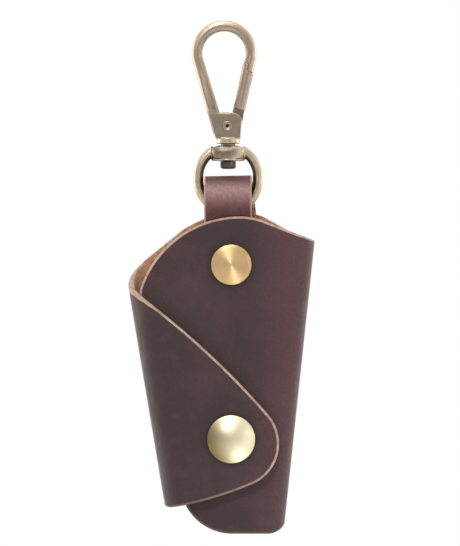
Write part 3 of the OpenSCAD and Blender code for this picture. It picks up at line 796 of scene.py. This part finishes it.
def strap_path(corners, step=0.45):
    """Evenly spaced points along corners of (a, b, radius)."""
    cuts = []
    for before, (*here, radius), after in zip([corners[0]] + corners, corners, corners[1:] + [corners[-1]]):
        if radius:
            turn = (Vector(before[:2]) - Vector(here)).angle(Vector(after[:2]) - Vector(here))
            radius /= math.tan(turn / 2)
        cuts.append((*here, radius))
    points = rounded(cuts, 8)
    made = points[:1]
    for last, p in zip(points, points[1:]):
        parts = max(1, round((p - last).length / step))
        if (p - last).length > 1e-5:
            made += [last.lerp(p, (k + 1) / parts) for k in range(parts)]
    return made


print("a corner in", len(rounded([(0, 1, 0), (0, 0, 0.3), (1, 0, 0)])) - 2, "points")


# %% Strap
tab_t = 1.8


def strap(name, corners, width, tilt=0.0, middle_x=lambda y, z: 0.0):
    """A strap that runs up the front along corners of (y, z, radius), and down the back as their mirror image."""
    across = 13
    rise = strap_path(corners)
    path = rise + [Vector((-p.x, p.y)) for p in rise[-2::-1]]
    length = sum((q - p).length for p, q in zip(path, path[1:]))
    print(name, "flat:", width, "by", round(length, 1), "mm")
    bpy.ops.mesh.primitive_grid_add(x_subdivisions=across - 1, y_subdivisions=len(path) - 1, size=2)
    grid = bpy.context.object
    points = []
    for vertex in grid.data.vertices:
        step = round((vertex.co.y + 1) / 2 * (len(path) - 1))
        x = vertex.co.x * width / 2
        y, z = path[step]
        points.append((middle_x(y, z) + x, y, z + tilt * x))
    faces = [tuple(f.vertices) for f in grid.data.polygons]
    bpy.data.objects.remove(grid)
    return leather_object(name, points, faces, tab_t, tab_hide, edge_r=0.5, inner_r=0.4)


# %% Outer strap
ring_wire_r, loop_depth = 1.6, 12
wire_z = box_mm("swivel_ring")[0].z + ring_wire_r
mid = inner_y - tab_t / 2
loop_r, loop_z = (loop_depth - tab_t) / 2, wire_z + 5
over = arc((0, loop_z), loop_r, 205, 90, 24)
loop_top = over[-1][1]
corners = [(-mid, screw_z - 9, 0), (-mid, wire_z - 2.6, 9), (*over[0], 3)] + [(*p, 0) for p in over[1:]]
# The rear ply stands a little to the right of the front one
ring_strap = strap("ring_strap", corners, 15.2, 0.02, lambda y, z: min(1.4, (loop_top - z) * 0.12) * clamp(y / 2))
settle(ring_strap, "ring_tab", "case")

# %% Inner tab
key_wire_r, key_mid, key_r = 0.9, 0.95, 2.61
key_wire_z = box_mm("key_ring")[1].z - key_wire_r
grip = arc((0, key_wire_z), key_r, 140, 180, 8) + arc((0, key_wire_z - 1.19), key_r, 180, 270, 14)
corners = [(-key_mid, screw_z + 9, 0), (-key_mid, key_wire_z + 4.96, 3), (*grip[0], 1.5)]
corners += [(*p, 0) for p in grip[1:]]
key_strap = strap("key_strap", corners, 10.0, middle_x=lambda y, z: case_x)
settle(key_strap, "key_tab", "case")

# %% [markdown]
# ## The clasp's castings
# The hook, its gate and the ring are cast, tumbled and darkened. A casting has no sharp edge, so the CAD
# solid is copied, remeshed evenly and rubbed smooth. The dark wash stays where rays from the skin soon
# meet metal again, so each point of the skin keeps how hidden it is, and the material reads that.

# %% Casting tools
def take(name, node_name):
    """A welded copy of a CAD node."""
    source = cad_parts[node_name]
    mesh = source.data.copy()
    mesh.transform(source.matrix_world)
    mesh.materials.clear()
    piece = add_object(name, mesh)
    weld(piece, 1e-6, outward=False)
    return piece


def lofted(name, rings, closed=False):
    """A solid through rings of as many points each: it ends in two faces, or closes on itself."""
    count = len(rings[0])
    rings = rings + rings[:1] if closed else rings
    faces = [[i * count + k, i * count + (k + 1) % count, (i + 1) * count + (k + 1) % count, (i + 1) * count + k]
             for i in range(len(rings) - 1) for k in range(count)]
    if not closed:
        faces += [list(range(count - 1, -1, -1)), list(range((len(rings) - 1) * count, len(rings) * count))]
    piece = new_piece(name, [p for ring in rings for p in ring], faces)
    weld(piece)
    return piece


def oval(count, wide, deep, power=2.0):
    """Points round a superellipse: 2 is an ellipse, and a higher power is squarer."""
    ways = [(math.cos(a), math.sin(a)) for a in (2 * math.pi * k / count for k in range(count))]
    return [(wide * math.copysign(abs(c) ** (2 / power), c), deep * math.copysign(abs(d) ** (2 / power), d))
            for c, d in ways]


def join(piece, other):
    only(piece)
    other.select_set(True)
    bpy.ops.object.join()


def cut_away(piece, middle, size, turn=0.0):
    """Takes a box, turned about Y, out of a piece."""
    bpy.ops.mesh.primitive_cube_add(size=1)
    cutter = bpy.context.object
    cutter.data.transform(Matrix.Diagonal((size[0] * MM, size[1] * MM, size[2] * MM, 1)))
    cutter.data.transform(Matrix.Rotation(math.radians(turn), 4, "Y"))
    cutter.data.transform(Matrix.Translation(Vector(middle) * MM))
    modify(piece, "BOOLEAN", operation="DIFFERENCE", solver="EXACT", object=cutter)
    bpy.data.objects.remove(cutter)


# %% Tumbling and rubbing
def cast(piece, material, rubs, grain=0.14):
    """Gives a piece the even, rounded skin of a tumbled casting. The remesh works in millimetres."""
    piece.data.transform(Matrix.Scale(1 / MM, 4))
    modify(piece, "REMESH", mode="VOXEL", voxel_size=grain)
    modify(piece, "SMOOTH", factor=0.5, iterations=rubs)
    piece.data.transform(Matrix.Scale(MM, 4))
    bpy.ops.object.shade_smooth()
    piece.data.materials.append(material)


def rub_more(piece, share, rubs):
    """Smooths a piece further where share, a value of a point in millimetres, is over 0."""
    group = piece.vertex_groups.new(name="rub")
    for vertex in piece.data.vertices:
        group.add([vertex.index], share(vertex.co / MM), "REPLACE")
    modify(piece, "SMOOTH", factor=0.5, iterations=rubs, vertex_group="rub")
    piece.vertex_groups.clear()


def fatten(piece, share, depth=0.07):
    """Moves the skin outwards by a share of a depth: share is a value of a point in millimetres."""
    ways = [vertex.normal.copy() for vertex in piece.data.vertices]
    for vertex, way in zip(piece.data.vertices, ways):
        vertex.co += way * depth * share(vertex.co / MM) * MM


# %% Where the wash stays
def mark_hollows(piece, neighbours, worn, reach=2.2, count=30):
    """Stores on each point the share of rays that meet a neighbour within a short reach, as the worn function changes
    it: on the hook and ring that adds painted light and shade by which way the skin faces.
    """
    places, faces = [], []
    for name in neighbours:
        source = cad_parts[name]
        faces += [[len(places) + i for i in f.vertices] for f in source.data.polygons]
        places += [source.matrix_world @ v.co for v in source.data.vertices]
    near = BVHTree.FromPolygons(places, faces)
    rays = []
    for i in range(count):
        z = 1 - (2 * i + 1) / count
        turn = i * math.pi * (3 - math.sqrt(5))
        flat = math.sqrt(1 - z * z)
        rays.append(Vector((flat * math.cos(turn), flat * math.sin(turn), z)))
    values = []
    for vertex in piece.data.vertices:
        start = vertex.co + vertex.normal * 0.16 * MM
        ways = [ray for ray in rays if ray.dot(vertex.normal) > 0.2]
        met = sum(1 for ray in ways if near.ray_cast(start, ray, reach * MM)[0])
        values.append(worn(vertex, met / max(1, len(ways))))
    hollow = piece.data.attributes.new("hollow", "FLOAT", "POINT")
    hollow.data.foreach_set("value", values)
    print(piece.name, "mean hollow:", round(sum(values) / len(values), 3))


# %% [markdown]
# ### Hook
# Its fixed leg is a loft, because it swells from a round wire to the full depth of the base and grows squarer
# as it goes. The loft is joined to the copy before the remesh, which melts the two together like cast metal.

# %% Hook
lean, leg_top, leg_foot = math.radians(16.5), -11.6, -31.0
rings = []
for s in (i / 24 for i in range(25)):
    z = leg_top + (leg_foot - leg_top) * s
    middle_x = -9.594 + (-9.357 - z) * math.tan(lean)
    swell = clamp(s / 0.76)
    swell = swell * swell * (3 - 2 * swell)
    wide = 1.74 + 0.23 * s
    rings.append([(middle_x + x * math.cos(lean), y, z + x * math.sin(lean))
                  for x, y in oval(40, wide, wide + (2.9 - wide) * swell, 2 + 2.2 * swell)])
hook_cast = take("hook_cast", "hook_body")
join(hook_cast, lofted("leg_swell", rings))
cast(hook_cast, clasp_metal, rubs=8)
rub_more(hook_cast, lambda p: 1.0 if p.x < 0.5 and -28.2 < p.z < -24.0 else 0.0, 40)
# The nose and the gate lap close, so neither shows daylight between them
fatten(hook_cast, lambda p: clamp((-7.5 - p.z) / 3) if p.x > 2 and p.z > -16 else 0)
castings = ("hook_body", "hook_gate", "swivel_ring", "swivel_post", "gate_pin")


def hook_wear_and_shading(vertex, share):
    # The base is darker than the wire, and the collar is lighter
    z = vertex.co.z / MM
    side = abs(vertex.normal.y)
    if z < -34.3:
        return -0.6 if z > -35.7 else share * 0.7
    if z < -25:
        return max(share, 0.38 * clamp((side - 0.8) / 0.15) * clamp((-25.6 - z) / 1.4))
    # The wire is painted lighter on its outer side and darker on its side towards the eye's middle: partly wear and
    # wash, partly painted light and shade
    inward = (Vector((-1.3, 0, max(-6.9, min(z, -6.9)))) * MM - vertex.co) * Vector((1, 0, 1 if z > -6.9 else 0))
    facing = vertex.normal.dot(inward.normalized())
    # The leg's faces towards front and back are painted darker below the eye: painted shade that dims their highlight
    front = max(share, 0.4 * clamp((side - 0.6) / 0.3) * clamp((-12 - z) / 5))
    if facing <= 0:
        return front + 0.7 * facing
    return max(front, (0.36 if z > -12 else 0.24) * min(1, (facing - 0.1) / 0.5))


mark_hollows(hook_cast, castings, hook_wear_and_shading)
settle(hook_cast, "hook_body", "hook")

# %% [markdown]
# ### Gate
# The gate turns on its rivet in the slot of the base. A cutter narrows its tongue there, and the wash is dark
# where the gate goes into the slot, because nothing rubs it.

# %% Gate
gate_cast = take("gate_cast", "hook_gate")
cut_away(gate_cast, (-0.858, 0, -22.234), (6, 8, 7), 12.5)
cast(gate_cast, clasp_metal, rubs=6)
fatten(gate_cast, lambda p: clamp((p.z + 18) / 3))
mark_hollows(gate_cast, castings, lambda vertex, share: max(share, 0.48 * clamp((-24.9 - vertex.co.z / MM) / 0.4)))
settle(gate_cast, "hook_gate", "gate")

# %% [markdown]
# ### Ring
# The ring's pad is a drum with a domed top, drilled for the post. Its rings go up the outside and down the
# hole, so the loft closes on itself, and it takes the place of the plain pad that is cut out first.

# %% Ring
low, high = box_mm("swivel_ring")
ring_z = low.z + (high.x - low.x) / 2
pad_t = 4.3
pad_foot = high.z - pad_t
drum = ((0, 4.75, 3.1), (0.08, 5.15, 3.4), (0.3, 5.45, 3.6), (0.55, 5.5, 3.65), (0.72, 5.3, 3.5), (0.86, 4.8, 3.2),
        (0.95, 4.1, 2.9), (1, 3.3, 2.6), (1, 1.75, 1.75), (0.5, 1.75, 1.75), (0, 1.75, 1.75))
rings = [[(x, y, pad_foot + pad_t * up) for x, y in oval(48, wide, deep, 2.5 if wide > 2 else 2)]
         for up, wide, deep in drum]
ring_cast = take("ring_cast", "swivel_ring")
cut_away(ring_cast, (0, 0, pad_foot + pad_t / 2), (9.8, 7.6, pad_t + 0.02))
join(ring_cast, lofted("pad", rings, closed=True))
cast(ring_cast, ring_metal, rubs=8)
rub_more(ring_cast, lambda p: 1.0 if 3.9 < abs(p.x) < 7 and p.z > pad_foot - 1 else 0.0, 30)


def ring_wash_and_shading(vertex, share):
    # The pad is painted darker on its left than on its right, as painted shade, and the ring's inner side is darker:
    # partly wash, partly painted shade
    at = vertex.co / MM
    if at.z > pad_foot - 0.1 and abs(at.x) < 5.5:
        return max(share * 0.5, 0.52 - 0.25 * clamp((at.x - 0.5) / 3))
    facing = vertex.normal.dot(Vector((-at.x, 0, ring_z - at.z)).normalized())
    return max(share, min(1, (facing - 0.15) / 0.35))


mark_hollows(ring_cast, castings + ("ring_tab",), ring_wash_and_shading)
settle(ring_cast, "swivel_ring", "ring")

# %% [markdown]
# ## Turned and pressed parts
# Screw, rivets and snap are turned or pressed, so each is half a profile that the Screw modifier turns
# about its axis. Corners of a profile carry a radius, because every one of them is broken on the real part.

# %% Lathe
def turned(name, profile, at, material, steps=96, upright=False):
    """A profile of radii and depths, turned about the line along Y, or Z, through a point in metres."""
    piece = new_piece(name, [(*p, 0) for p in profile], [], [(i, i + 1) for i in range(len(profile) - 1)])
    modify(piece, "SCREW", axis="Y", steps=steps, render_steps=steps, use_merge_vertices=True, merge_threshold=1e-6)
    weld(piece)
    if upright:
        piece.data.transform(Matrix.Rotation(math.radians(90), 4, "X"))
    piece.data.transform(Matrix.Translation(at))
    shade(piece, material)
    return piece


# %% [markdown]
# ### Two-part screw
# Its front half is a face-turned head on a shank. Its back half is a barrel that ends in the same head, with a
# slot for the driver. Both are clamped on the panels, so their depths start from the panels' faces.

# %% Screw
panel_y = inner_y + hide_t
head_t, barrel_r, shank_r = 1.3, 2.5, 1.7
middle = Vector((screw_at.x, 0, screw_at.z))
face_y, bevel_y = panel_y + head_t, panel_y + head_t - 0.42
head = [(0, face_y, 0), (head_r - 0.75, face_y, 0.3), (head_r - 0.12, bevel_y, 0.3), (head_r, panel_y, 0.12)]
shank = [(shank_r, -panel_y, 0.05), (shank_r, panel_y / 2 - 0.3, 0.1), (shank_r - 0.3, panel_y / 2, 0.1),
         (0, panel_y / 2, 0)]
front = rounded([(x, -y, cut) for x, y, cut in head] + shank)
front_screw = turned("front_screw", front, middle, screw_metal, steps=128)
settle(front_screw, "screw_head", "case")
back = rounded(head + [(barrel_r, panel_y, 0.05), (barrel_r, -panel_y, 0.12), (shank_r, -panel_y, 0.12),
                       (shank_r, panel_y * 0.6, 0.1), (0, panel_y * 0.6, 0)])
back_screw = turned("back_screw", back, middle, screw_metal, steps=128)
cut_away(back_screw, middle / MM + Vector((0, face_y, 0)), (2.2 * head_r, 1.2, 1.1), 24)
settle(back_screw, "screw_post", "case")

# %% [markdown]
# ### Snap cap
# The cap is pressed from thin sheet: a shallow dome, then a rolled rim that rests on the flap, and a short
# tube behind, which the socket is rolled onto.

# %% Snap cap
flap_y = flap_in_y + hide_t
cap_h, dome_edge, dome_rise = 3.1, 7.2, 2.35
dome_r = (dome_edge ** 2 + dome_rise ** 2) / (2 * dome_rise)
dome = [Vector((dome_r * math.sin(a), -flap_y - cap_h + dome_r - dome_r * math.cos(a)))
        for a in (math.asin(dome_edge / dome_r) * i / 26 for i in range(27))]
rim = rounded([(dome_edge, -flap_y - 0.75, 0.1), (cap_r, -flap_y - 0.5, 0.4), (cap_r, -flap_y, 0.2),
               (1.5, -flap_y, 0.05), (1.5, -flap_y + 0.4, 0.05), (2.1, -flap_y + 0.4, 0.08),
               (2.1, -flap_y + 0.6, 0.08), (0, -flap_y + 0.6, 0)])
dome_cap = turned("dome_cap", dome + rim[1:], Vector((snap_at.x, 0, snap_at.z)), cap_metal, steps=128)
settle(dome_cap, "snap_cap", "flap")

# %% [markdown]
# ### Gate pin and swivel post
# The pin is a tube whose two ends are rolled over, so each end has a lip and a dark hollow. The post is a solid
# rivet that stands in the ring's pad, and only its head shows.

# %% Gate pin
low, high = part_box("gate_pin")
middle = Vector(((low.x + high.x) / 2, 0, (low.z + high.z) / 2))
half = (high.y - low.y) / 2 / MM
lip, deep = 0.308, 1.5
end = [(0.5, -half + deep, 0.05), (0.5, -half + 0.3, 0.1), (1.05, -half + 0.16, 0.1), (1.3, -half, 0.12),
       (1.595, -half + 0.12, 0.15), (1.595, -half + lip, 0.05), (1.1, -half + lip, 0.03)]
tube = rounded([(0, -half + deep, 0)] + end + [(a, -b, c) for a, b, c in end[::-1]] + [(0, half - deep, 0)])
rivet = turned("rivet", tube, middle, pin_metal, steps=48)
rivet.data.materials.append(post_metal)
for face in rivet.data.polygons:
    if math.hypot(face.center.x - middle.x, face.center.z - middle.z) < 0.6 * MM:
        face.material_index = 1
settle(rivet, "gate_pin", "hook")

# %% Swivel post
low, high = box_mm("swivel_post")
stem = rounded([(0, low.z, 0), (1.9, low.z, 0.3), (2.5, low.z + 0.45, 0.35), (2.5, low.z + 2.4, 0.2),
                (1.7, low.z + 2.4, 0.05), (1.7, high.z, 0.1), (0, high.z, 0)])
swivel_stem = turned("swivel_stem", stem, Vector(), post_metal, steps=64, upright=True)
settle(swivel_stem, "swivel_post", "hook")

# %% [markdown]
# ### Inner fittings
# The stud, the socket and the eyelet show once the flap is open. Their CAD solids are already round, so
# a copy has its flats joined again and its edges broken by a narrow bevel.

# %% Stud, socket and eyelet
for name, body in (("stud", "case"), ("eyelet", "case"), ("socket", "flap")):
    fitting = take(name, "snap_" + name)
    bpy.ops.object.mode_set(mode="EDIT")
    bpy.ops.mesh.dissolve_limited(angle_limit=math.radians(0.5))
    bpy.ops.object.mode_set(mode="OBJECT")
    modify(fitting, "BEVEL", limit_method="ANGLE", angle_limit=math.radians(35), width=0.1 * MM, segments=2)
    shade(fitting, snap_metal, 30)
    settle(fitting, "snap_" + name, body)

# %% [markdown]
# ### Key ring
# The split ring is flat wire wound twice. Its section is a rectangle with round corners, swept along two
# turns that lie side by side and cross over at the ring's top, where the two ends of the wire are.

# %% Split ring
low, high = box_mm("key_ring")
ring_at = (low + high) / 2
wire_w, wire_t = 1.8, 1.15
turn_r = (high.x - low.x) / 2 - wire_w / 2
section = rounded([(a * wire_w / 2, b * wire_t / 2, 0.35) for a, b in ((-1, -1), (1, -1), (1, 1), (-1, 1))], 3)
jog, steps, side = 20, 300, (wire_t + 0.05) / 2
rings = []
for i in range(steps + 1):
    turn = jog + (720 - 2 * jog) * i / steps
    a = math.radians(turn)
    s = clamp((turn - 360 + jog) / (2 * jog))
    y = side * (2 * s * s * (3 - 2 * s) - 1)
    # The last steps of the wire are slimmer, so its ends are rounded off
    end = min(i, steps - i)
    slim = 1 if end > 2 else (0.62, 0.86, 0.96)[end]
    rings.append([ring_at + Vector(((turn_r + k.x * slim) * math.sin(a), y + k.y * slim,
                                    (turn_r + k.x * slim) * math.cos(a))) for k in section])
split_ring = lofted("split_ring", rings)
shade(split_ring, steel_metal)
settle(split_ring, "key_ring", "key_ring")

# %% [markdown]
# ### Gate spring
# A short coil in the hook's base pushes the gate shut; on the real clasp it squashes towards the slot's wall as the
# gate opens.
# It is one wire wound as a helix along X, whose first and last turns lie flat, made in one shape that rides on the
# hook.

# %% Gate spring
low, high = box_mm("gate_spring")
coil_d = high.z - low.z
spring_wire = coil_d * 0.176
coil_r = coil_d / 2 - spring_wire / 2
start_x, end_x = low.x + spring_wire / 2, high.x - spring_wire / 2
flat_turns, open_turns, steps = 0.8, 3, 150
rings = []
for i in range(steps + 1):
    turn = (2 * flat_turns + open_turns) * i / steps
    a = 2 * math.pi * turn
    out = Vector((0, math.cos(a), math.sin(a)))
    middle = Vector((start_x + (end_x - start_x) * clamp((turn - flat_turns) / open_turns),
                     (low.y + high.y) / 2, (low.z + high.z) / 2)) + coil_r * out
    rings.append([middle + out * x + Vector((y, 0, 0)) for x, y in oval(10, spring_wire / 2, spring_wire / 2)])
coil_spring = lofted("coil_spring", rings)
shade(coil_spring, steel_metal)
settle(coil_spring, "gate_spring", "hook")
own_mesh(coil_spring)

# %% [markdown]
# ### Snap wire
# The sprung wire inside the socket is already a round wire bent to shape, so its CAD node stays and only gets
# the steel finish.

# %% Snap wire
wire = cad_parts["snap_wire"].data
wire.materials.clear()
wire.materials.append(steel_metal)
print("snap_wire:", len(wire.polygons), "faces")
